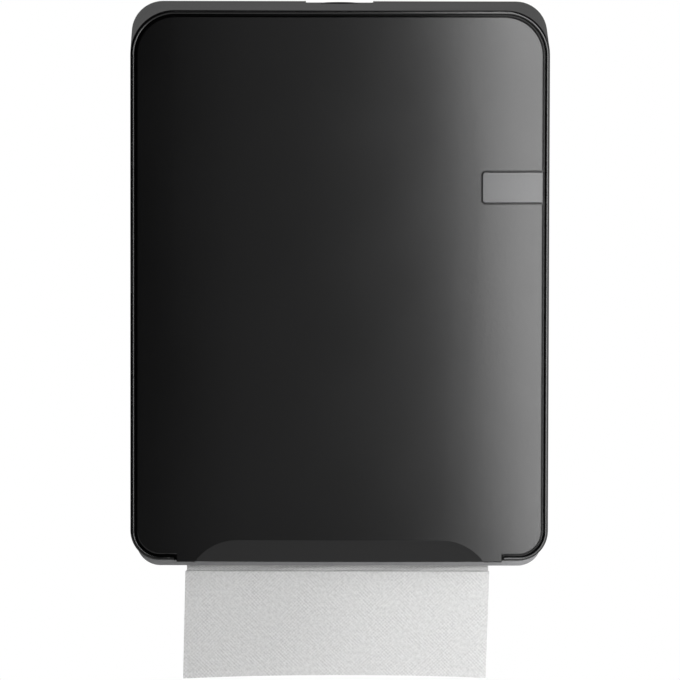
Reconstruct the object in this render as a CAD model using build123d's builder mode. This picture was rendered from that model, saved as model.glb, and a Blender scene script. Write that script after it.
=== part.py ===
from build123d import *
import math
import os

# Wall dispenser for folded paper towels, in millimetres.
# X runs to the right, Z up, and the wall is the plane Y = 0.
# A depth is a distance from the wall into the room, so it runs along minus Y.

# Casing
width = 300.0
height = 396.0
depth = 130.0
bow = 5.0
draft = 1.6
wall = 2.6
front_top_radius = 32.0
front_bottom_radius = 21.5
rear_top_radius = 23.0
rear_bottom_radius = 20.0

# Rim and front panel
rim = 3.0
groove = 1.6
panel_thickness = 2.4
ledge_thickness = 2.4
ledge_width = 14.0
foot_inset = 33.0
foot_drop = 1.0
edge_round = 0.8
rim_round = 1.4
groove_round = 1.2

# Finger scoop in the foot of the panel
scoop_inset = 13.0
scoop_height = 16.2
scoop_radius = 38.0
scoop_depth = 5.0
scoop_step = 0.4

# Badge plate at the right edge of the panel
badge_width = 44.5
badge_height = 24.4
badge_rise = 71.3
badge_radius = 3.5
badge_gap = 1.2
badge_thickness = 1.2
badge_round = 0.4

# Folded towels, as wide and as deep as the casing takes
side_room = 40.0
front_room = 50.0
stack_height = 250.0
fold_count = 16
fold_bulge = 0.6
paper = 0.5
leaf_length = 77.5
leaf_belly = 2.0
crease_drop = 5.6
crease_reach = 11.0

# Back plate
plate_thickness = 3.0
plate_gap = 0.9
flange_depth = 18.0
flange_wall = 2.4
rib_height = 5.0
rib_width = 2.4
rib_drop = 58.0
mount_side_margin = 50.0
mount_end_margin = 68.0
mount_hole_radius = 2.75
mount_boss_radius = 8.0
mount_boss_height = 4.0

# Towel tray
tray_wall = 3.0
tray_drop = 7.2
tray_gap = 1.0
tray_radius = 17.5
tray_side_height = 38.0
tray_front_height = 25.0
throat_length_share = 0.6
throat_spare = 3.0
throat_radius = 6.0
throat_round = 1.0

# Paper guides
guide_gap = 1.2
guide_wall = 2.2
guide_depth_share = 0.725
guide_flange = 14.0
guide_height = 200.0
guide_radius = 18.0

# Hinge of the cover
hinge_setback = 16.0
hinge_rise = 10.0
hinge_inset = 17.5
hinge_reach = 5.0
pin_radius = 2.5
pin_head_radius = 4.0
pin_head = 1.8
ear_radius = 6.2
ear_thickness = 6.0
bush_radius = 4.0
bush_length = 7.5
bush_flange = 0.8
bush_flange_radius = 5.6
running_gap = 0.05

# Lock in the top of the cover
lock_depth = 20.0
notch_width = 49.0
notch_length = 37.0
notch_depth = 1.0
pad_thickness = 1.8
lock_flange_radius = 13.5
lock_flange = 0.7
lock_body_radius = 12.0
lock_body_length = 11.0
cup_radius = 10.5
cup_depth = 3.0
barrel_radius = 7.0
barrel_head_radius = 9.0
barrel_head = 1.5
keyway_length = 9.0
keyway_width = 2.0
keyway_depth = 3.5
nut_across = 30.0
nut_thickness = 4.0
washer_thickness = 1.0
washer_radius = 10.0
tenon = 7.0
cam_thickness = 2.6
cam_length = 14.0
cam_width = 9.0
cam_hub_radius = 6.5
cam_screw_head_radius = 5.8
cam_screw_radius = 1.6
cam_screw_length = 6.0
keeper_wall = 2.4
keeper_gap = 1.2
keeper_drop = 0.5
keeper_height = 8.0
keeper_foot_width = 19.5
keeper_foot_height = 20.0

# Screws
screw_radius = 1.5
screw_head_radius = 3.2
screw_head = 2.0
screw_slot_length = 4.0
screw_slot_width = 0.9
screw_slot_depth = 1.0
screw_taper = 14.0
panel_boss_radius = 3.2

# Clearances
soft_gap = 0.3
fit_gap = 0.2
spare = 10.0

# Sizes that follow from the ones above
half_width = width / 2
top = height / 2
bottom = -top
bow_radius = (half_width ** 2 + bow ** 2) / (2 * bow)
bow_centre = bow_radius - depth
panel_margin = rim + groove
panel_half_width = half_width - panel_margin
foot_width = width - 2 * foot_inset
foot_bottom = bottom - foot_drop
scoop_width = foot_width - 2 * scoop_inset
scoop_top = foot_bottom + scoop_height
scoop_run = math.sqrt(scoop_radius ** 2 - (scoop_radius - scoop_height) ** 2)
scoop_tilt = math.degrees(math.atan((scoop_depth - scoop_step) / scoop_height))
hinge_depth = depth - hinge_setback
hinge_height = bottom + hinge_rise
foot_sweep = math.hypot(hinge_setback, hinge_rise + foot_drop)
ear_outside = half_width - hinge_inset
boss_face = ear_outside + bush_flange + fit_gap
tray_front = hinge_depth - foot_sweep - tray_gap
tray_half_width = half_width - wall - tray_gap
tray_bottom = bottom - tray_drop
tray_floor = tray_bottom + tray_wall
tray_top = tray_bottom + tray_side_height
towel_width = width - 2 * side_room
towel_fold = depth - front_room
stack_rear = plate_thickness + rib_height + soft_gap + fold_bulge
stack_middle = stack_rear + towel_fold / 2
stack_bottom = tray_floor + soft_gap
throat_length = throat_length_share * towel_fold
throat_front = stack_middle + throat_length / 2
crease_depth = throat_front + crease_reach
crease_height = tray_bottom - crease_drop
plate_half_width = half_width + draft - wall - plate_gap
plate_top = top - wall - plate_gap
mount_x = half_width - mount_side_margin
mount_z = top - mount_end_margin
guide_inside = towel_width / 2 + guide_gap
guide_depth = guide_depth_share * towel_fold
lock_floor = top - notch_depth
lock_pad = top - wall - pad_thickness
lock_shoulder = lock_floor + lock_flange - cup_depth
lock_end = lock_floor - lock_body_length
cam_top = lock_end - washer_thickness - fit_gap
cam_bottom = cam_top - cam_thickness
keeper_top = cam_top - keeper_drop
keeper_front = lock_depth + cam_width / 2 + keeper_gap + keeper_wall
keeper_web = cam_length + keeper_gap + fit_gap

ledge_screw_x = half_width - panel_margin - ledge_width / 2
ledge_screw_z = top - panel_margin - ledge_width / 2
side_screw_shares = (-0.38, 0, 0.38)
top_screw_share = 0.24
rib_shares = (0.16, 0.36)
tray_screw_shares = (0.5, 0.75)
guide_screw_shares = (0.25, 0.75)
keeper_screw_shares = (0.25, 0.75)
strip_share = 0.17
edge_shares = (0, 0.5, 1)


# Helpers
def from_wall(distance):
    return Plane.XZ.offset(distance)


def slab(left, right, low, high, rear, front, mode=Mode.ADD):
    """Adds or cuts a block between two depths."""
    with BuildSketch(from_wall(rear)) as face:
        with Locations(((left + right) / 2, (low + high) / 2)):
            Rectangle(right - left, high - low)
    extrude(face.sketch, amount=front - rear, mode=mode)


def disc(plane, centre, radius, length, mode=Mode.ADD):
    """Adds or cuts a round bar that starts on a plane."""
    with BuildSketch(plane) as face:
        with Locations(centre):
            Circle(radius)
    extrude(face.sketch, amount=length, mode=mode)


def lock_disc(low, high, radius, mode=Mode.ADD):
    """Adds or cuts a round bar on the axis of the lock."""
    disc(Plane.XY.offset(low), (0, -lock_depth), radius, high - low, mode)


def rounded(half, low, high, low_radius, high_radius):
    """Returns an upright outline with its own radius for the lower and the upper corners."""
    with BuildSketch() as outline:
        with Locations((0, (low + high) / 2)):
            Rectangle(2 * half, high - low)
        if high_radius > 0:
            fillet(outline.vertices().sort_by(Axis.Y)[-2:], high_radius)
        if low_radius > 0:
            fillet(outline.vertices().sort_by(Axis.Y)[:2], low_radius)
    return outline.sketch


def panel_outline(margin, foot_half_width, foot_low):
    """Returns the outline of the front, drawn in by a margin, with a foot below it."""
    with BuildSketch() as outline:
        add(rounded(half_width - margin, bottom + margin, top - margin,
                    front_bottom_radius - margin, front_top_radius - margin))
        with Locations((0, foot_low / 2)):
            Rectangle(2 * foot_half_width, -foot_low)
    return outline.sketch


def scoop_outline(grow):
    """Returns the outline of the finger scoop, running out below the foot."""
    flat_half = scoop_width / 2 - scoop_run
    with BuildSketch() as outline:
        with BuildLine():
            Line((-flat_half, scoop_top), (flat_half, scoop_top))
            TangentArc((flat_half, scoop_top), (scoop_width / 2, foot_bottom), tangent=(1, 0))
            Polyline((scoop_width / 2, foot_bottom), (scoop_width / 2, foot_bottom - spare),
                     (-scoop_width / 2, foot_bottom - spare), (-scoop_width / 2, foot_bottom))
            TangentArc((-flat_half, scoop_top), (-scoop_width / 2, foot_bottom), tangent=(-1, 0))
        make_face()
        if grow > 0:
            offset(amount=grow, kind=Kind.INTERSECTION)
    return outline.sketch


def badge_outline(gap, right):
    """Returns the outline of the badge, rounded at its left corners."""
    left = panel_half_width - badge_width + gap
    with BuildSketch() as outline:
        with Locations(((left + right) / 2, badge_rise)):
            Rectangle(right - left, badge_height - 2 * gap)
        fillet(outline.vertices().sort_by(Axis.X)[:2], badge_radius - gap)
    return outline.sketch


def bow_cylinder(setback, mode):
    """Keeps or cuts what lies behind the bowed front, set back by a distance."""
    with Locations((0, bow_centre)):
        Cylinder(bow_radius - setback, 2 * height, mode=mode)


def tilted_cylinder(setback, mode):
    """The same for the scoop, which starts with a step at its top and leans inward below it."""
    with Locations(Location((0, scoop_step - depth, scoop_top), (scoop_tilt, 0, 0))):
        with Locations((0, bow_radius)):
            Cylinder(bow_radius - setback, 2 * height, mode=mode)


def upright_bar(outline):
    """Returns the bar of an outline, from half the depth to well in front of the casing."""
    with BuildPart() as bar:
        with BuildSketch(from_wall(depth / 2)):
            add(outline)
        extrude(amount=depth)
    return bar.part


def bowed_plate(outline, front_setback, back_setback):
    """Returns the plate of an outline between two bowed surfaces."""
    with BuildPart() as plate:
        add(upright_bar(outline))
        bow_cylinder(front_setback, Mode.INTERSECT)
        bow_cylinder(back_setback, Mode.SUBTRACT)
    return plate.part


def casing_block(inset, setback):
    """Returns the drafted, bowed block of the casing, drawn in by a wall."""
    with BuildPart() as block:
        with BuildSketch(from_wall(0)):
            add(rounded(half_width + draft - inset, bottom + inset, top - inset,
                        rear_bottom_radius - inset, rear_top_radius - inset))
        with BuildSketch(from_wall(depth)):
            add(rounded(half_width - inset, bottom + inset, top - inset,
                        front_bottom_radius - inset, front_top_radius - inset))
        loft(ruled=True)
        bow_cylinder(setback, Mode.INTERSECT)
    return block.part


def bow_edges(part):
    """Returns the edges of a part that lie on the bowed front."""
    return part.edges().filter_by(
        lambda edge: all(abs(math.hypot((edge @ share).X, (edge @ share).Y - bow_centre) - bow_radius)
                         < running_gap for share in edge_shares))


def inside_rim(edge):
    """Tells whether an edge keeps to the inner side of the rim, all along."""
    reach_x = half_width - rim + running_gap
    reach_z = top - rim + running_gap
    return all(abs((edge @ share).X) < reach_x and abs((edge @ share).Z) < reach_z for share in edge_shares)


def front_at(x):
    """Returns the depth of the bowed front at a distance from the middle."""
    return depth - bow_radius + math.sqrt(bow_radius ** 2 - x ** 2)


def screw_at(x, z, seat, shank, toward):
    """Adds a cross-slotted screw; toward is 1 for a shank that points into the room, else -1."""
    disc(from_wall(seat), (x, z), screw_radius, toward * shank)
    with BuildSketch(from_wall(seat)) as head:
        with Locations((x, z)):
            Circle(screw_head_radius)
    extrude(head.sketch, amount=-toward * screw_head, taper=screw_taper)
    with BuildSketch(from_wall(seat - toward * screw_head)) as cross:
        with Locations((x, z)):
            Rectangle(screw_slot_length, screw_slot_width)
            Rectangle(screw_slot_width, screw_slot_length)
    extrude(cross.sketch, amount=toward * screw_slot_depth, mode=Mode.SUBTRACT)


def save(piece, name):
    piece.part.label = name
    export_step(piece.part, f"parts/{name}.step")


os.makedirs("parts", exist_ok=True)

# Places of the screws, as x and z
side_screws = [(side * ledge_screw_x, share * height)
               for side in (-1, 1) for share in side_screw_shares]
top_screws = [(side * width * top_screw_share, ledge_screw_z) for side in (-1, 1)]
panel_screw_places = side_screws + top_screws
tray_screw_x = tray_half_width - tray_radius
tray_screw_places = [(side * tray_screw_x, tray_bottom + share * tray_side_height)
                     for side in (-1, 1) for share in tray_screw_shares]
guide_low = tray_top + plate_gap
guide_screw_x = guide_inside + guide_wall + (guide_flange - guide_wall) / 2
guide_screw_places = [(side * guide_screw_x, guide_low + share * guide_height)
                      for side in (-1, 1) for share in guide_screw_shares]
keeper_foot_low = keeper_top - keeper_foot_height
keeper_screw_x = keeper_web + keeper_wall + (keeper_foot_width - keeper_wall) / 2
keeper_screw_places = [(keeper_screw_x, keeper_foot_low + share * keeper_foot_height)
                       for share in keeper_screw_shares]
plate_screw_shank = plate_thickness - fit_gap
mount_places = [(across * mount_x, up * mount_z) for across in (-1, 1) for up in (-1, 1)]

# Cover shell: sides, top, rim, ledge behind the panel, hinge bosses and the seat of the lock
with BuildPart() as cover_shell:
    add(casing_block(0, 0))
    fillet(bow_edges(cover_shell), rim_round)
    panel_seat = panel_outline(rim, foot_width / 2 + groove, bottom - spare)
    add(bowed_plate(panel_seat, -spare, panel_thickness), mode=Mode.SUBTRACT)
    fillet(bow_edges(cover_shell).filter_by(inside_rim), groove_round)
    add(casing_block(wall, panel_thickness + ledge_thickness), mode=Mode.SUBTRACT)
    slab(-notch_width / 2, notch_width / 2, lock_pad, top - wall, plate_thickness + plate_gap,
         notch_length + wall)
    for side in (-1, 1):
        disc(Plane.YZ.offset(side * boss_face), (-hinge_depth, hinge_height), ear_radius,
             side * hinge_inset)
    add(casing_block(0, 0), mode=Mode.INTERSECT)
    add(bowed_plate(panel_seat, -spare, panel_thickness), mode=Mode.SUBTRACT)
    window = panel_outline(panel_margin + ledge_width, scoop_width / 2 + 2 * panel_thickness,
                           bottom - spare)
    add(bowed_plate(window, -spare, hinge_setback), mode=Mode.SUBTRACT)
    slab(-width, width, bottom - spare, bottom + front_bottom_radius, -spare,
         hinge_depth - bush_radius, mode=Mode.SUBTRACT)
    for side in (-1, 1):
        ear_middle = side * (ear_outside - ear_thickness / 2)
        ear_space = ear_thickness / 2 + bush_flange + fit_gap
        slab(ear_middle - ear_space, ear_middle + ear_space, bottom - spare, hinge_height,
             0, hinge_depth + hinge_reach, mode=Mode.SUBTRACT)
        disc(Plane.YZ.offset(side * boss_face), (-hinge_depth, hinge_height), bush_radius,
             side * bush_length, mode=Mode.SUBTRACT)
    for x, z in panel_screw_places:
        seat = front_at(x) - panel_thickness - ledge_thickness + soft_gap
        disc(from_wall(seat), (x, z), panel_boss_radius + fit_gap, spare, mode=Mode.SUBTRACT)
        disc(from_wall(seat), (x, z), screw_head_radius + panel_boss_radius / 2, -screw_head,
             mode=Mode.SUBTRACT)
    slab(-notch_width / 2, notch_width / 2, lock_floor, top + spare, -spare, notch_length,
         mode=Mode.SUBTRACT)
    lock_disc(lock_pad - spare, top + spare, lock_body_radius, mode=Mode.SUBTRACT)
save(cover_shell, "cover_shell")

# Front panel: bowed plate with its foot, the finger scoop, the badge pocket and screw bosses
with BuildPart() as front_panel:
    add(upright_bar(panel_outline(panel_margin, foot_width / 2, foot_bottom)))
    bow_cylinder(0, Mode.INTERSECT)
    fillet(bow_edges(front_panel), edge_round)
    with BuildPart(mode=Mode.PRIVATE) as panel_hollow:
        bow_cylinder(panel_thickness, Mode.ADD)
        add(upright_bar(scoop_outline(panel_thickness)), mode=Mode.SUBTRACT)
    with BuildPart(mode=Mode.PRIVATE) as scoop_hollow:
        add(upright_bar(scoop_outline(panel_thickness)))
        tilted_cylinder(panel_thickness, Mode.INTERSECT)
    with BuildPart(mode=Mode.PRIVATE) as scoop_space:
        add(upright_bar(scoop_outline(0)))
        tilted_cylinder(0, Mode.SUBTRACT)
    for space in (panel_hollow, scoop_hollow, scoop_space):
        add(space.part, mode=Mode.SUBTRACT)
    pocket = badge_outline(0, panel_half_width + spare)
    add(bowed_plate(pocket, -spare, badge_thickness), mode=Mode.SUBTRACT)
    for x, z in panel_screw_places:
        boss_end = front_at(x) - panel_thickness - ledge_thickness + soft_gap + fit_gap
        boss_length = ledge_thickness - soft_gap
        disc(from_wall(boss_end), (x, z), panel_boss_radius, boss_length + panel_thickness / 2)
        disc(from_wall(boss_end), (x, z), screw_radius, boss_length, mode=Mode.SUBTRACT)
save(front_panel, "front_panel")

# Badge plate, left bare
with BuildPart() as badge_plate:
    add(bowed_plate(badge_outline(badge_gap, panel_half_width), 0, badge_thickness))
    fillet(bow_edges(badge_plate), badge_round)
save(badge_plate, "badge_plate")

# Screws that hold the panel from behind
with BuildPart() as panel_screws:
    for x, z in panel_screw_places:
        seat = front_at(x) - panel_thickness - ledge_thickness + soft_gap
        screw_at(x, z, seat, ledge_thickness - soft_gap, 1)
save(panel_screws, "panel_screws")

# Hinge bushes in the bosses of the cover, and pins in the ears of the tray
with BuildPart() as hinge_bush_right:
    axis = (-hinge_depth, hinge_height)
    disc(Plane.YZ.offset(boss_face), axis, bush_radius, bush_length)
    disc(Plane.YZ.offset(boss_face), axis, bush_flange_radius, -bush_flange)
    disc(Plane.YZ.offset(ear_outside), axis, pin_radius + running_gap, half_width,
         mode=Mode.SUBTRACT)
save(hinge_bush_right, "hinge_bush_right")

with BuildPart() as hinge_bush_left:
    mirror(hinge_bush_right.part, about=Plane.YZ)
save(hinge_bush_left, "hinge_bush_left")

with BuildPart() as hinge_pin_right:
    ear_inside = Plane.YZ.offset(ear_outside - ear_thickness)
    disc(ear_inside, axis, pin_radius, ear_thickness + bush_flange + bush_length)
    disc(ear_inside, axis, pin_head_radius, -pin_head)
save(hinge_pin_right, "hinge_pin_right")

with BuildPart() as hinge_pin_left:
    mirror(hinge_pin_right.part, about=Plane.YZ)
save(hinge_pin_left, "hinge_pin_left")

# Back plate: flat on the wall, with a raised edge, ribs behind the stack and four screw bosses
with BuildPart() as back_plate:
    plate_inset = wall + plate_gap
    plate_radius = rear_top_radius - plate_inset
    with BuildSketch(from_wall(0)):
        add(rounded(plate_half_width, tray_floor, plate_top, rear_bottom_radius - plate_inset, plate_radius))
    extrude(amount=flange_depth)
    with BuildSketch(from_wall(plate_thickness)):
        add(rounded(plate_half_width - flange_wall, tray_bottom - spare, plate_top - flange_wall,
                    0, plate_radius - flange_wall))
    extrude(amount=flange_depth, mode=Mode.SUBTRACT)
    slab(-width, width, tray_bottom - spare, guide_low, plate_thickness, flange_depth + spare,
         mode=Mode.SUBTRACT)
    slab(-notch_width / 2 - wall, notch_width / 2 + wall, keeper_foot_low, top, plate_thickness,
         flange_depth + spare, mode=Mode.SUBTRACT)
    for share in rib_shares:
        for side in (-1, 1):
            rib_middle = side * share * towel_width
            slab(rib_middle - rib_width / 2, rib_middle + rib_width / 2, guide_low,
                 plate_top - rib_drop, plate_thickness, plate_thickness + rib_height)
    for x, z in mount_places:
        disc(from_wall(plate_thickness), (x, z), mount_boss_radius, mount_boss_height)
    for x, z in mount_places:
        disc(from_wall(0), (x, z), mount_hole_radius, depth, mode=Mode.SUBTRACT)
    for x, z in tray_screw_places + guide_screw_places + keeper_screw_places:
        disc(from_wall(plate_thickness), (x, z), screw_radius, -plate_screw_shank, mode=Mode.SUBTRACT)
save(back_plate, "back_plate")

# Towel tray: a trough with the towel throat in its floor and two hinge ears at the front
with BuildPart() as towel_tray:
    with BuildSketch(from_wall(plate_thickness)):
        add(rounded(tray_half_width, tray_bottom, tray_top, tray_radius, 0))
    extrude(amount=tray_front - plate_thickness)
    with BuildSketch(from_wall(plate_thickness + tray_wall)):
        add(rounded(tray_half_width - tray_wall, tray_floor, tray_top + spare,
                    tray_radius - tray_wall, 0))
    extrude(amount=tray_front - plate_thickness - 2 * tray_wall, mode=Mode.SUBTRACT)
    slab(-width, width, tray_bottom + tray_front_height, top, tray_front - tray_wall, depth,
         mode=Mode.SUBTRACT)
    with BuildSketch(Plane.XY.offset(tray_bottom - spare)):
        with Locations((0, -stack_middle)):
            RectangleRounded(towel_width + 2 * throat_spare, throat_length, throat_radius)
    extrude(amount=tray_wall + spare, mode=Mode.SUBTRACT)
    for level in (tray_bottom, tray_floor):
        face = towel_tray.faces().filter_by_position(Axis.Z, level - fit_gap, level + fit_gap)[0]
        fillet(face.inner_wires()[0].edges(), throat_round)
    for side in (-1, 1):
        ear_plane = Plane.YZ.offset(side * ear_outside)
        with BuildSketch(ear_plane):
            with Locations((-hinge_depth, hinge_height)):
                Circle(ear_radius)
                Rectangle(hinge_depth - tray_front + tray_wall, ear_radius, align=(Align.MIN, Align.MIN))
        extrude(amount=-side * ear_thickness)
        disc(ear_plane, axis, pin_radius, -side * ear_thickness, mode=Mode.SUBTRACT)
    for x, z in tray_screw_places:
        disc(from_wall(plate_thickness), (x, z), screw_radius, tray_wall, mode=Mode.SUBTRACT)
save(towel_tray, "towel_tray")

with BuildPart() as tray_screws:
    for x, z in tray_screw_places:
        screw_at(x, z, plate_thickness + tray_wall, tray_wall + plate_screw_shank, -1)
save(tray_screws, "tray_screws")

# Paper guides: angle rails beside the stack
with BuildPart() as paper_guide_right:
    slab(guide_inside, guide_inside + guide_wall, guide_low, guide_low + guide_height,
         plate_thickness, plate_thickness + guide_depth)
    front_ends = paper_guide_right.edges().filter_by(Axis.X).group_by(Axis.Y)[0]
    fillet(front_ends, guide_radius)
    slab(guide_inside, guide_inside + guide_flange, guide_low, guide_low + guide_height,
         plate_thickness, plate_thickness + guide_wall)
    for x, z in guide_screw_places:
        disc(from_wall(plate_thickness), (x, z), screw_radius, guide_wall, mode=Mode.SUBTRACT)
save(paper_guide_right, "paper_guide_right")

with BuildPart() as paper_guide_left:
    mirror(paper_guide_right.part, about=Plane.YZ)
save(paper_guide_left, "paper_guide_left")

with BuildPart() as guide_screws:
    for x, z in guide_screw_places:
        screw_at(x, z, plate_thickness + guide_wall, guide_wall + plate_screw_shank, -1)
save(guide_screws, "guide_screws")

# Lock housing: a cupped flange in the notch and a threaded body through the top of the cover
with BuildPart() as lock_housing:
    lock_disc(lock_floor, lock_floor + lock_flange, lock_flange_radius)
    lock_disc(lock_end, lock_floor, lock_body_radius)
    lock_disc(lock_shoulder, top + spare, cup_radius, mode=Mode.SUBTRACT)
    lock_disc(lock_end - spare, top + spare, barrel_radius + running_gap, mode=Mode.SUBTRACT)
save(lock_housing, "lock_housing")

with BuildPart() as lock_nut:
    with BuildSketch(Plane.XY.offset(lock_pad)):
        with Locations((0, -lock_depth)):
            RegularPolygon(nut_across / 2, 6, major_radius=False)
            Circle(lock_body_radius, mode=Mode.SUBTRACT)
    extrude(amount=-nut_thickness)
save(lock_nut, "lock_nut")

# Lock barrel with its keyway, and the washer, cam and screw that turn with it
with BuildPart() as lock_barrel:
    lock_disc(cam_top, lock_shoulder + running_gap, barrel_radius)
    lock_disc(lock_shoulder + running_gap, lock_shoulder + running_gap + barrel_head,
              barrel_head_radius)
    with BuildSketch(Plane.XY.offset(cam_top)):
        with Locations((0, -lock_depth)):
            Rectangle(tenon, tenon)
    extrude(amount=-(cam_thickness - fit_gap))
    with BuildSketch(Plane.XY.offset(lock_shoulder + running_gap + barrel_head)):
        with Locations((0, -lock_depth)):
            Rectangle(keyway_width, keyway_length)
    extrude(amount=-keyway_depth, mode=Mode.SUBTRACT)
    lock_disc(cam_bottom, cam_bottom + cam_screw_length, cam_screw_radius, mode=Mode.SUBTRACT)
save(lock_barrel, "lock_barrel")

with BuildPart() as lock_washer:
    lock_disc(cam_top, cam_top + washer_thickness, washer_radius)
    lock_disc(cam_top - spare, top, barrel_radius, mode=Mode.SUBTRACT)
save(lock_washer, "lock_washer")

with BuildPart() as lock_cam:
    lock_disc(cam_bottom, cam_top, cam_hub_radius)
    with BuildSketch(Plane.XY.offset(cam_bottom)):
        with Locations((0, -lock_depth)):
            Rectangle(cam_width, cam_length, align=(Align.CENTER, Align.MIN))
    extrude(amount=cam_thickness)
    with BuildSketch(Plane.XY.offset(cam_bottom)):
        with Locations((0, -lock_depth)):
            Rectangle(tenon, tenon)
    extrude(amount=cam_thickness, mode=Mode.SUBTRACT)
save(lock_cam, "lock_cam")

with BuildPart() as cam_screw:
    lock_disc(cam_bottom - screw_head, cam_bottom, cam_screw_head_radius)
    lock_disc(cam_bottom, cam_bottom + cam_screw_length, cam_screw_radius)
save(cam_screw, "cam_screw")

# Keeper: a bent hook on the back plate that the cam turns behind
with BuildPart() as lock_keeper:
    keeper_low = keeper_top - keeper_height
    slab(keeper_web, keeper_web + keeper_foot_width, keeper_foot_low, keeper_top,
         plate_thickness, plate_thickness + keeper_wall)
    slab(keeper_web, keeper_web + keeper_wall, keeper_low, keeper_top, plate_thickness, keeper_front)
    slab(cam_hub_radius + keeper_gap, keeper_web + keeper_wall, keeper_low, keeper_top,
         keeper_front - keeper_wall, keeper_front)
    for x, z in keeper_screw_places:
        disc(from_wall(plate_thickness), (x, z), screw_radius, keeper_wall, mode=Mode.SUBTRACT)
save(lock_keeper, "lock_keeper")

with BuildPart() as keeper_screws:
    for x, z in keeper_screw_places:
        screw_at(x, z, plate_thickness + keeper_wall, keeper_wall + plate_screw_shank, -1)
save(keeper_screws, "keeper_screws")

# Stack of folded towels, its front and back swelling at each group of folds
with BuildPart() as towel_stack:
    pitch = stack_height / fold_count
    with BuildSketch(Plane.YZ.offset(-towel_width / 2)):
        with BuildLine():
            for face, bulge in ((-stack_rear, fold_bulge), (-stack_rear - towel_fold, -fold_bulge)):
                for fold in range(fold_count):
                    low = stack_bottom + fold * pitch
                    ThreePointArc((face, low), (face + bulge, low + pitch / 2), (face, low + pitch))
            for level in (stack_bottom, stack_bottom + stack_height):
                Line((-stack_rear, level), (-stack_rear - towel_fold, level))
        make_face()
    extrude(amount=towel_width)
save(towel_stack, "towel_stack")

# Hanging towel: a strip from the throat to its crease, then the leaf below
with BuildPart() as hanging_towel:
    strip_start = -stack_middle - strip_share * throat_length
    strip_top = stack_bottom - soft_gap
    strip_middle = (-throat_front + throat_spare, tray_bottom - 2 * throat_round)
    leaf_end = crease_height - leaf_length
    leaf_middle = (-crease_depth - leaf_belly, crease_height - leaf_length / 2)
    with BuildSketch(Plane.YZ.offset(-towel_width / 2)):
        with BuildLine():
            Spline((strip_start, strip_top), strip_middle, (-crease_depth, crease_height))
            Spline((-crease_depth, crease_height), leaf_middle, (-crease_depth, leaf_end))
            Line((-crease_depth, leaf_end), (-crease_depth + paper, leaf_end))
            Spline((-crease_depth + paper, leaf_end), (leaf_middle[0] + paper, leaf_middle[1]),
                   (-crease_depth + paper, crease_height - paper))
            Spline((-crease_depth + paper, crease_height - paper),
                   (strip_middle[0], strip_middle[1] - paper), (strip_start, strip_top - paper))
            Line((strip_start, strip_top - paper), (strip_start, strip_top))
        make_face()
    extrude(amount=towel_width)
save(hanging_towel, "hanging_towel")
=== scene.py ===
import math
import random

import bpy
from mathutils import Matrix, Vector


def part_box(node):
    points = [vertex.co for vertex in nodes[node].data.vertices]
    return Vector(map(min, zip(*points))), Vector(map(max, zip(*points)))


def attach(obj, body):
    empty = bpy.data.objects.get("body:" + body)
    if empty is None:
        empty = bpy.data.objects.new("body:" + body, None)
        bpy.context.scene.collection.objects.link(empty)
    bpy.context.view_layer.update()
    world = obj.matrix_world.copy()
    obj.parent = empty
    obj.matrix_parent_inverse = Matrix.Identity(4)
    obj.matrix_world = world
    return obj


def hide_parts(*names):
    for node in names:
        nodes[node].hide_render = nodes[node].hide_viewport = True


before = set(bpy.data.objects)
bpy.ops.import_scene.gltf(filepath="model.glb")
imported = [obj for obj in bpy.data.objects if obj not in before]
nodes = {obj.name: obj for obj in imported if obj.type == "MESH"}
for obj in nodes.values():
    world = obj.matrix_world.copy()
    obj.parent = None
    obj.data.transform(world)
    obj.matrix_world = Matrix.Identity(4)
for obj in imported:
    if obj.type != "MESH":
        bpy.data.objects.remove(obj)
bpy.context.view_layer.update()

# Camera, from the photograph
view_azimuth = math.radians(-0.25)
view_elevation = math.radians(5.3)
view_roll = math.radians(0.12)
view_distance = 5.9
view_width = 0.4874
view_aim = Vector((0.0003, -0.128, -0.0384))
sensor_width = 36.0

# Towel that hangs out: the route of its middle line, as depth from the wall and height
towel_low, towel_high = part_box("hanging_towel")
tray_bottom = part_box("towel_tray")[0].z
towel_width = towel_high.x - towel_low.x
towel_thickness = 0.00025
leaf_belly = 0.002
crease_drop = 0.0056
throat_reach = 0.014
throat_drop = 0.0009
bend_reach = 0.0080
bend_drop = 0.0008
nose_reach = 0.0044
nose_drop = 0.0030
crease = Vector((-towel_low.y - leaf_belly, tray_bottom - crease_drop))
strip_start = Vector((-towel_high.y, towel_high.z - towel_thickness))
strip_middle = Vector((crease.x - throat_reach, tray_bottom - throat_drop))
bend_start = Vector((crease.x - bend_reach, tray_bottom - bend_drop))
bend_middle = Vector((crease.x - nose_reach, tray_bottom - nose_drop))
leaf_end = Vector((crease.x, towel_low.z))
leaf_middle = (crease + leaf_end) / 2 + Vector((leaf_belly, 0.0))
leaf_length = crease.y - leaf_end.y
towel_routes = {
    "strip": (strip_start, strip_middle, bend_start),
    "bend": (bend_start, bend_middle, crease),
    "leaf": (crease, leaf_middle, leaf_end),
}
towel_rows = {"strip": 14, "bend": 12, "leaf": 60}
towel_columns = 96

# Leans and waves of the towel; a ripple has its radians across the sheet, its radians along and its phase
leaf_arch = 0.0024
leaf_tilt = 0.0004
leaf_lean = 0.0020
leaf_narrowing_share = 0.4
crease_shift = 0.0011
strip_narrowing = 0.0018
hem_height = 0.003
hem_step = 0.00025
leaf_wave = 0.0009
leaf_wide_ripple = (5.2, 0.0, 0.8)
leaf_fine_ripple = (11.0, 0.0, 2.0)
leaf_fine_share = 0.6
swing_rate = 1.2
swing_share = 0.6
bend_wave = 0.0004
bend_ripple = (15.0, 4.0, 0.0)
bend_tuck = 0.0022
tuck_power = 4
strip_wave = 0.0004
strip_rise_ripple = (26.0, 5.0, 0.0)
strip_reach_ripple = (17.0, -3.0, 1.0)

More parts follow.
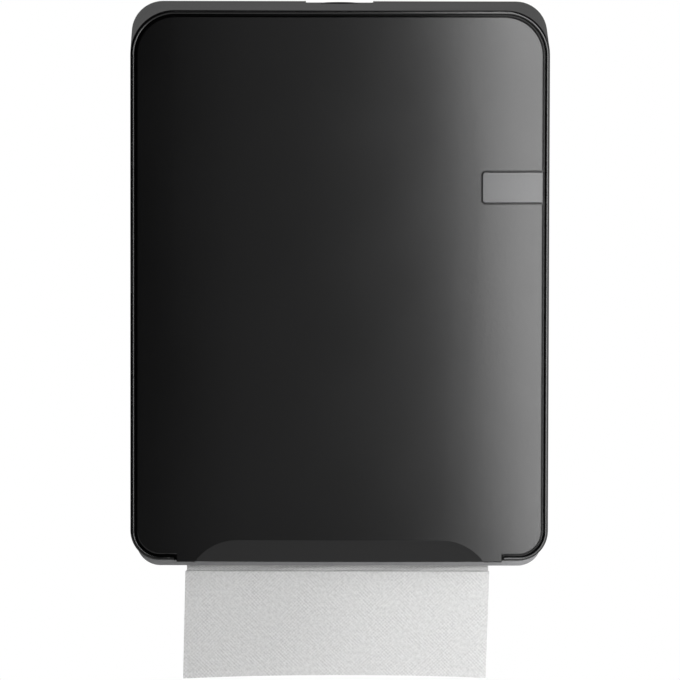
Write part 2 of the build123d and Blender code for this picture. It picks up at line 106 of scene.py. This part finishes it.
# Stack of folded towels
layer_count = 104
layer_nose = 0.0012
layer_jitter = 0.0007
nose_points = 5
stack_seed = 7

# Grain of plastic and metal, as features per metre, and depth of its relief
plastic_grain = 700.0
plastic_broad = 14.0
plastic_relief = 0.00006
metal_mottle = 900.0
metal_grain_strength = 0.15
broad_detail = 2.0
fine_detail = 4.0

# Painted shade in narrow seams of plastic, by ambient occlusion: how near a wall darkens them, and the open
# shares where the painted shade is black and where it ends
painted_shade_reach = 0.004
painted_shade_black_share = 0.4
painted_shade_plain_share = 0.66

# Grain and emboss of paper; the emboss is two crossing ripples, each strong in patches of its own
paper_fibre = 900.0
paper_speck = 420.0
speck_detail = 3.0
fibre_strength = 0.5
paper_relief = 0.0003
emboss_pitch = 0.0019
right_patch = 70.0
right_patch_range = (0.42, 0.62)
right_strengths = (0.02, 0.16)
left_patch = 45.0
left_patch_range = (0.42, 0.60)
left_strengths = (0.02, 0.13)
lightness_range = (0.46, 0.99)
scatter_share = 0.6
scatter_depth = 0.0006
scatter_radius = (1.0, 1.0, 1.0)
paper_roughness = 0.92
paper_shine = 0.2

# Colours and finishes
plastic_looks = {
    "satin_black_plastic": dict(dark=(0.0008, 0.0008, 0.0009), light=(0.0024, 0.0024, 0.0026),
                                roughness=(0.22, 0.27), grain_strength=0.6, shine=0.5),
    "smooth_badge_plastic": dict(dark=(0.030, 0.030, 0.032), light=(0.039, 0.039, 0.041),
                                 roughness=(0.26, 0.30), grain_strength=0.05, shine=0.64),
    "grey_base_plastic": dict(dark=(0.25, 0.25, 0.255), light=(0.30, 0.30, 0.305),
                              roughness=(0.46, 0.54), grain_strength=0.3, shine=0.5),
    "pale_bush_plastic": dict(dark=(0.66, 0.65, 0.61), light=(0.76, 0.75, 0.71),
                              roughness=(0.34, 0.42), grain_strength=0.15, shine=0.5),
    "black_lock_plastic": dict(dark=(0.004, 0.004, 0.0042), light=(0.008, 0.008, 0.0085),
                               roughness=(0.28, 0.36), grain_strength=0.15, shine=0.1),
}
metal_looks = {
    "zinc_plated_steel": dict(dark=(0.48, 0.48, 0.49), light=(0.62, 0.62, 0.61), roughness=(0.28, 0.42)),
    "plated_lock_metal": dict(dark=(0.42, 0.42, 0.43), light=(0.52, 0.52, 0.53), roughness=(0.18, 0.3)),
}
paper_looks = {
    "embossed_towel_paper": dict(dark=(0.70, 0.70, 0.695), light=(0.86, 0.86, 0.855), emboss_strength=0.9),
}
finishes = {
    "satin_black_plastic": ("cover_shell", "front_panel"),
    "smooth_badge_plastic": ("badge_plate",),
    "grey_base_plastic": ("back_plate", "towel_tray", "paper_guide_left", "paper_guide_right"),
    "pale_bush_plastic": ("hinge_bush_left", "hinge_bush_right"),
    "black_lock_plastic": ("lock_housing",),
    "plated_lock_metal": ("lock_barrel", "lock_nut"),
    "zinc_plated_steel": ("lock_washer", "lock_cam", "cam_screw", "lock_keeper", "hinge_pin_left",
                          "hinge_pin_right", "tray_screws", "guide_screws", "keeper_screws", "panel_screws"),
    "embossed_towel_paper": ("towel_stack", "hanging_towel"),
}

# Floor: how white it glows to the camera near its middle, and to mirrors as a share of that
floor_level = -0.75
floor_half = 2.4
floor_tint = (0.8, 0.8, 0.8)
floor_roughness = 0.9
fade_start = 1.2
fade_end = 2.2
near_white_share = 0.75
mirrored_share = 0.5

# Room: its light to the camera and, for other rays, in front and behind, lighter from a Y of their direction
room_seen = 1.0
room_front = 0.0
room_back = 0.19
room_lightens_from = -0.6
white = (1.0, 1.0, 1.0, 1.0)

# Soft boxes, with power in watts and lean in degrees; some light only matt or only glossy surfaces
soft_boxes = {
    "right_strip": dict(place=(0.229, -0.75, 0.21), aim=(-0.034, -0.13, 0.21), size=(0.125, 1.08),
                        power=4.25, lean=6.0, matt=False),
    "front_box": dict(place=(0.03, -0.83, 0.185), aim=(0.03, -0.13, 0.185), size=(0.43, 1.03), power=0.44),
    "right_card": dict(place=(0.57, -0.67, -0.24), aim=(0.0, -0.1, -0.24), size=(0.5, 0.86), power=2.9),
    "paper_fill": dict(place=(0.6, -0.75, -0.16), aim=(0.0, -0.1, -0.2), size=(0.5, 0.45), power=4.2,
                       gloss=False),
    "top_fill": dict(place=(-0.35, -0.52, 1.1), aim=(0.0, -0.05, 0.0), size=(0.6, 0.5), power=7.0,
                     gloss=False),
    "side_card": dict(place=(0.9, -0.1, -0.05), aim=(0.0, -0.1, -0.05), size=(0.6, 0.9), power=2.6),
    "low_card": dict(place=(0.1, 0.03, -0.72), aim=(0.05, -0.05, -0.2), size=(0.7, 0.3), power=1.4),
}


# Nodes of materials
def new_material(name):
    """Returns a node material with its tree, its main shader and its texture coordinates."""
    material = bpy.data.materials.new(name)
    material.use_nodes = True
    tree = material.node_tree
    shader = tree.nodes["Principled BSDF"]
    place = tree.nodes.new("ShaderNodeTexCoord")
    return material, tree, shader, place


def noise(tree, vector, scale, detail=broad_detail):
    """Returns a noise of 0 to 1 with features per metre."""
    node = tree.nodes.new("ShaderNodeTexNoise")
    node.inputs["Scale"].default_value = scale
    node.inputs["Detail"].default_value = detail
    tree.links.new(vector, node.inputs["Vector"])
    return node.outputs["Fac"]


def ramp(tree, factor, low, high, start=0.0, end=1.0):
    """Maps a factor between start and end to a number between low and high."""
    node = tree.nodes.new("ShaderNodeMapRange")
    node.inputs["From Min"].default_value = start
    node.inputs["From Max"].default_value = end
    node.inputs["To Min"].default_value = low
    node.inputs["To Max"].default_value = high
    tree.links.new(factor, node.inputs["Value"])
    return node.outputs["Result"]


def combine(tree, operation, one, other):
    """Joins two numbers by an operation such as ADD or MULTIPLY."""
    node = tree.nodes.new("ShaderNodeMath")
    node.operation = operation
    tree.links.new(one, node.inputs[0])
    tree.links.new(other, node.inputs[1])
    return node.outputs["Value"]


def shades(tree, factor, dark, light):
    """Maps a factor of 0 to 1 to a colour between two."""
    node = tree.nodes.new("ShaderNodeMix")
    node.data_type = "RGBA"
    node.inputs["A"].default_value = (*dark, 1.0)
    node.inputs["B"].default_value = (*light, 1.0)
    tree.links.new(factor, node.inputs["Factor"])
    return node.outputs["Result"]


def darkened(tree, factor, colour):
    """Fades a colour to black where a factor falls to 0."""
    node = tree.nodes.new("ShaderNodeMix")
    node.data_type = "RGBA"
    node.inputs["A"].default_value = (0.0, 0.0, 0.0, 1.0)
    tree.links.new(factor, node.inputs["Factor"])
    tree.links.new(colour, node.inputs["B"])
    return node.outputs["Result"]


def bump(tree, height, shader, strength, distance):
    """Gives a shader the relief of a height."""
    node = tree.nodes.new("ShaderNodeBump")
    node.inputs["Strength"].default_value = strength
    node.inputs["Distance"].default_value = distance
    tree.links.new(height, node.inputs["Height"])
    tree.links.new(node.outputs["Normal"], shader.inputs["Normal"])


def wave(tree, vector, direction, pitch):
    """Returns a ripple of a pitch across a direction in the sheet, from -1 to 1."""
    along = tree.nodes.new("ShaderNodeVectorMath")
    along.operation = "DOT_PRODUCT"
    along.inputs[1].default_value = (*direction, 0.0)
    tree.links.new(vector, along.inputs[0])
    turn = tree.nodes.new("ShaderNodeMath")
    turn.operation = "MULTIPLY"
    turn.inputs[1].default_value = 2 * math.pi / pitch
    tree.links.new(along.outputs["Value"], turn.inputs[0])
    sine = tree.nodes.new("ShaderNodeMath")
    sine.operation = "SINE"
    tree.links.new(turn.outputs["Value"], sine.inputs[0])
    return sine.outputs["Value"]


def seen_by(tree, *rays):
    """Returns 1 for rays of the given kinds, such as Is Camera Ray, and 0 for all others."""
    path = tree.nodes.new("ShaderNodeLightPath")
    seen = path.outputs[rays[0]]
    for ray in rays[1:]:
        seen = combine(tree, "MAXIMUM", seen, path.outputs[ray])
    return seen


# Materials
def moulded_plastic(name, dark, light, roughness, grain_strength, shine):
    """Moulded plastic with a fine spark-eroded grain, slow changes of gloss and painted shade that turns
    colour and gloss black in narrow seams.
    """
    material, tree, shader, place = new_material(name)
    fine = noise(tree, place.outputs["Object"], plastic_grain, fine_detail)
    broad = noise(tree, place.outputs["Object"], plastic_broad)
    # Painted shade: an ambient occlusion node fades colour and gloss to black in narrow seams and grooves,
    # where shadow falls
    painted_seam_shade = tree.nodes.new("ShaderNodeAmbientOcclusion")
    painted_seam_shade.inputs["Distance"].default_value = painted_shade_reach
    painted_shade_open_share = ramp(tree, painted_seam_shade.outputs["AO"], 0.0, 1.0, painted_shade_black_share, painted_shade_plain_share)
    colour = darkened(tree, painted_shade_open_share, shades(tree, fine, dark, light))
    tree.links.new(colour, shader.inputs["Base Color"])
    tree.links.new(ramp(tree, painted_shade_open_share, 0.0, shine), shader.inputs["Specular IOR Level"])
    tree.links.new(ramp(tree, broad, *roughness), shader.inputs["Roughness"])
    bump(tree, fine, shader, grain_strength, plastic_relief)
    return material


def plated_metal(name, dark, light, roughness):
    """Plated metal with a faint mottle."""
    material, tree, shader, place = new_material(name)
    mottle = noise(tree, place.outputs["Object"], metal_mottle, fine_detail)
    tree.links.new(shades(tree, mottle, dark, light), shader.inputs["Base Color"])
    tree.links.new(ramp(tree, mottle, *roughness), shader.inputs["Roughness"])
    shader.inputs["Metallic"].default_value = 1.0
    bump(tree, mottle, shader, metal_grain_strength, plastic_relief)
    return material


def tissue_paper(name, dark, light, emboss_strength):
    """Tissue with specks and patches of slanting emboss, laid on the sheet by its UV map in metres."""
    material, tree, shader, place = new_material(name)
    sheet = place.outputs["UV"]
    fibres = noise(tree, sheet, paper_fibre, fine_detail)
    specks = noise(tree, sheet, paper_speck, speck_detail)
    slant = math.sqrt(1 / 2)
    right_wave = wave(tree, sheet, (slant, -slant), emboss_pitch)
    left_wave = wave(tree, sheet, (slant, slant), emboss_pitch)
    right_strength = ramp(tree, noise(tree, sheet, right_patch), *right_strengths, *right_patch_range)
    left_strength = ramp(tree, noise(tree, sheet, left_patch), *left_strengths, *left_patch_range)
    emboss = combine(tree, "ADD", combine(tree, "MULTIPLY", right_wave, right_strength),
                     combine(tree, "MULTIPLY", left_wave, left_strength))
    grain = combine(tree, "ADD", specks, ramp(tree, fibres, 0.0, fibre_strength))
    relief = combine(tree, "ADD", grain, emboss)
    lightness = ramp(tree, relief, 0.0, 1.0, *lightness_range)
    tree.links.new(shades(tree, lightness, dark, light), shader.inputs["Base Color"])
    shader.inputs["Subsurface Weight"].default_value = scatter_share
    shader.inputs["Subsurface Radius"].default_value = scatter_radius
    shader.inputs["Subsurface Scale"].default_value = scatter_depth
    shader.inputs["Roughness"].default_value = paper_roughness
    shader.inputs["Specular IOR Level"].default_value = paper_shine
    bump(tree, relief, shader, emboss_strength, paper_relief)
    return material


def pale_floor(name):
    """A pale floor that keeps soft shadows near its middle and is plain white further out."""
    material, tree, shader, place = new_material(name)
    shader.inputs["Base Color"].default_value = (*floor_tint, 1.0)
    shader.inputs["Roughness"].default_value = floor_roughness
    glow = tree.nodes.new("ShaderNodeEmission")
    away = tree.nodes.new("ShaderNodeVectorMath")
    away.operation = "LENGTH"
    tree.links.new(place.outputs["Object"], away.inputs[0])
    share = ramp(tree, away.outputs["Value"], near_white_share, 1.0, fade_start, fade_end)
    mirrored = ramp(tree, seen_by(tree, "Is Glossy Ray"), 0.0, mirrored_share)
    seen = combine(tree, "MAXIMUM", seen_by(tree, "Is Camera Ray", "Is Transmission Ray"), mirrored)
    mix = tree.nodes.new("ShaderNodeMixShader")
    tree.links.new(combine(tree, "MULTIPLY", share, seen), mix.inputs["Fac"])
    tree.links.new(shader.outputs["BSDF"], mix.inputs[1])
    tree.links.new(glow.outputs["Emission"], mix.inputs[2])
    tree.links.new(mix.outputs["Shader"], tree.nodes["Material Output"].inputs["Surface"])
    return material


materials = {}
makers = ((moulded_plastic, plastic_looks), (plated_metal, metal_looks), (tissue_paper, paper_looks))
for make, looks in makers:
    for name, look in looks.items():
        materials[name] = make(name, **look)
towel_paper = materials["embossed_towel_paper"]

for finish, names in finishes.items():
    for name in names:
        nodes[name].data.materials.clear()
        nodes[name].data.materials.append(materials[finish])


# Pieces
def new_piece(name, points, faces, uvs, material):
    """Returns a smooth mesh piece with a UV map given point by point."""
    mesh = bpy.data.meshes.new(name)
    mesh.from_pydata(points, [], faces)
    layer = mesh.uv_layers.new(name="sheet")
    for loop in mesh.loops:
        layer.data[loop.index].uv = uvs[loop.vertex_index]
    mesh.materials.append(material)
    mesh.shade_smooth()
    piece = bpy.data.objects.new(name, mesh)
    bpy.context.scene.collection.objects.link(piece)
    return piece


def arc_through(route, share):
    """Returns a point on the smooth curve through three points, at a share of its run."""
    start, middle, end = route
    control = 2 * middle - (start + end) / 2
    return (1 - share) ** 2 * start + 2 * share * (1 - share) * control + share ** 2 * end


def ripple(across, share, turn_across, turn_along, phase):
    """Returns a ripple of -1 to 1 at a place on the sheet."""
    return math.sin(turn_across * across + turn_along * share + phase)


def towel_point(part, share, across, depth, height):
    """Returns a point of the towel, off its middle line by a share across, from minus a half to a half."""
    x = across * towel_width
    if part == "leaf":
        swing = math.sin(math.pi * min(share * swing_rate, 1)) * swing_share + share * (1 - swing_share)
        waves = ripple(across, share, *leaf_wide_ripple)
        waves += leaf_fine_share * ripple(across, share, *leaf_fine_ripple)
        depth += leaf_wave * swing * waves
        x -= crease_shift + leaf_lean * share * (1 + leaf_narrowing_share * across)
        if share > 1 - hem_height / leaf_length:
            depth += hem_step
        height += share ** 2 * (leaf_arch * (1 - (2 * across) ** 2) + 2 * across * leaf_tilt - leaf_tilt)
    else:
        fold = math.sin(math.pi * share)
        x -= strip_narrowing * (across + 1 / 2)
        if part == "bend":
            depth += bend_wave * fold * ripple(across, share, *bend_ripple) - bend_tuck * share ** tuck_power
        else:
            height += strip_wave * fold * ripple(across, share, *strip_rise_ripple)
            depth += strip_wave * fold * ripple(across, share, *strip_reach_ripple)
    return x, -depth, height


def sharpen_towel(mesh, row_count):
    """Marks the borders of the towel and its crease as sharp edges."""
    stride = towel_columns + 1
    crease_row = towel_rows["strip"] + towel_rows["bend"]
    sharp_rows = ({0}, {crease_row}, {row_count - 1})
    sharp_columns = ({0}, {towel_columns})
    for edge in mesh.edges:
        edge_rows = {vertex // stride for vertex in edge.vertices}
        edge_columns = {vertex % stride for vertex in edge.vertices}
        edge.use_edge_sharp = edge_rows in sharp_rows or edge_columns in sharp_columns


def hanging_towel():
    """Makes the towel: a strip under the tray, its bend to the crease and the leaf below, lightly waved."""
    rows = [(part, row / count) for part, count in towel_rows.items() for row in range(count)]
    rows.append(("leaf", 1.0))
    points, uvs, faces = [], [], []
    run = 0.0
    last = None
    for part, share in rows:
        depth, height = arc_through(towel_routes[part], share)
        if last:
            run += math.dist(last, (depth, height))
        last = (depth, height)
        for column in range(towel_columns + 1):
            across = column / towel_columns - 1 / 2
            points.append(towel_point(part, share, across, depth, height))
            uvs.append((across * towel_width, run))
    stride = towel_columns + 1
    for row in range(len(rows) - 1):
        for column in range(towel_columns):
            first = row * stride + column
            faces.append((first, first + 1, first + stride + 1, first + stride))
    piece = new_piece("hanging_towel_sheet", points, faces, uvs, towel_paper)
    sharpen_towel(piece.data, len(rows))
    thick = piece.modifiers.new("paper", "SOLIDIFY")
    thick.thickness = towel_thickness
    thick.offset = 0.0
    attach(piece, "towel")
    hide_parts("hanging_towel")


def folded_stack():
    """Makes the stack: layers with round folded noses at front and back, each a little out of line."""
    low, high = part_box("towel_stack")
    chance = random.Random(stack_seed)
    pitch = (high.z - low.z) / layer_count
    points, uvs, faces = [], [], []
    for layer in range(layer_count):
        base = low.z + layer * pitch
        front = low.y + layer_jitter * (1 + chance.random())
        back = high.y - layer_jitter * (1 + chance.random())
        side = layer_jitter * chance.random()
        profile = []
        for nose, inward in ((front, 1), (back, -1)):
            for step in range(nose_points):
                turn = math.pi * step / (nose_points - 1)
                rise = (1 - inward * math.cos(turn)) / 2
                profile.append((nose + inward * layer_nose * (1 - math.sin(turn)), base + pitch * rise))
        first = len(points)
        count = len(profile)
        for x in (low.x + side, high.x - layer_jitter + side):
            for y, z in profile:
                points.append((x, y, z))
                uvs.append((x, y + z))
        faces.append(tuple(first + index for index in range(count)))
        faces.append(tuple(first + count + index for index in reversed(range(count))))
        for index in range(count):
            after = (index + 1) % count
            faces.append((first + after, first + index, first + count + index, first + count + after))
    piece = new_piece("folded_towel_stack", points, faces, uvs, towel_paper)
    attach(piece, "housing")
    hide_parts("towel_stack")


hanging_towel()
folded_stack()

# Floor of the stage
floor_mesh = bpy.data.meshes.new("floor")
floor_mesh.from_pydata([(-floor_half, -floor_half, 0), (floor_half, -floor_half, 0),
                        (floor_half, floor_half, 0), (-floor_half, floor_half, 0)], [], [(0, 1, 2, 3)])
floor = bpy.data.objects.new("floor", floor_mesh)
floor.location.z = floor_level
bpy.context.scene.collection.objects.link(floor)
floor.data.materials.append(pale_floor("pale_floor"))


# Light
def soft_light(name, place, aim, size, power, lean=0.0, matt=True, gloss=True):
    """Adds a soft box that the camera doesn't see, for matt and glossy surfaces; lean turns its top left."""
    lamp = bpy.data.lights.new(name, "AREA")
    lamp.shape = "RECTANGLE"
    lamp.size, lamp.size_y = size
    lamp.energy = power
    box = bpy.data.objects.new(name, lamp)
    box.location = place
    facing = (Vector(aim) - Vector(place)).to_track_quat("-Z", "Y").to_matrix()
    box.rotation_euler = (facing @ Matrix.Rotation(math.radians(lean), 3, "Z")).to_euler()
    box.visible_camera = False
    box.visible_diffuse = matt
    box.visible_glossy = gloss
    bpy.context.scene.collection.objects.link(box)


for name, settings in soft_boxes.items():
    soft_light(name, **settings)

# Room: white to the camera, and for all other rays dark in front of the dispenser and dim behind it
world = bpy.data.worlds.new("studio")
world.use_nodes = True
bpy.context.scene.world = world
sky = world.node_tree
direction = sky.nodes.new("ShaderNodeTexCoord")
parts = sky.nodes.new("ShaderNodeSeparateXYZ")
sky.links.new(direction.outputs["Generated"], parts.inputs["Vector"])
room = ramp(sky, parts.outputs["Y"], room_front, room_back, room_lightens_from)
level = sky.nodes.new("ShaderNodeMix")
level.inputs["B"].default_value = room_seen
sky.links.new(seen_by(sky, "Is Camera Ray", "Is Transmission Ray"), level.inputs["Factor"])
sky.links.new(room, level.inputs["A"])
background = sky.nodes["Background"]
background.inputs["Color"].default_value = white
sky.links.new(level.outputs["Result"], background.inputs["Strength"])

# Camera
camera_data = bpy.data.cameras.new("camera")
camera_data.sensor_width = sensor_width
camera_data.lens = sensor_width * view_distance / view_width
camera = bpy.data.objects.new("camera", camera_data)
back = Vector((math.sin(view_azimuth) * math.cos(view_elevation),
               -math.cos(view_azimuth) * math.cos(view_elevation), math.sin(view_elevation)))
turn = (-back).to_track_quat("-Z", "Y").to_matrix().to_4x4() @ Matrix.Rotation(view_roll, 4, "Z")
camera.matrix_world = Matrix.Translation(view_aim + view_distance * back) @ turn
bpy.context.scene.collection.objects.link(camera)
bpy.context.scene.camera = camera
bpy.context.scene.view_settings.view_transform = "Standard"
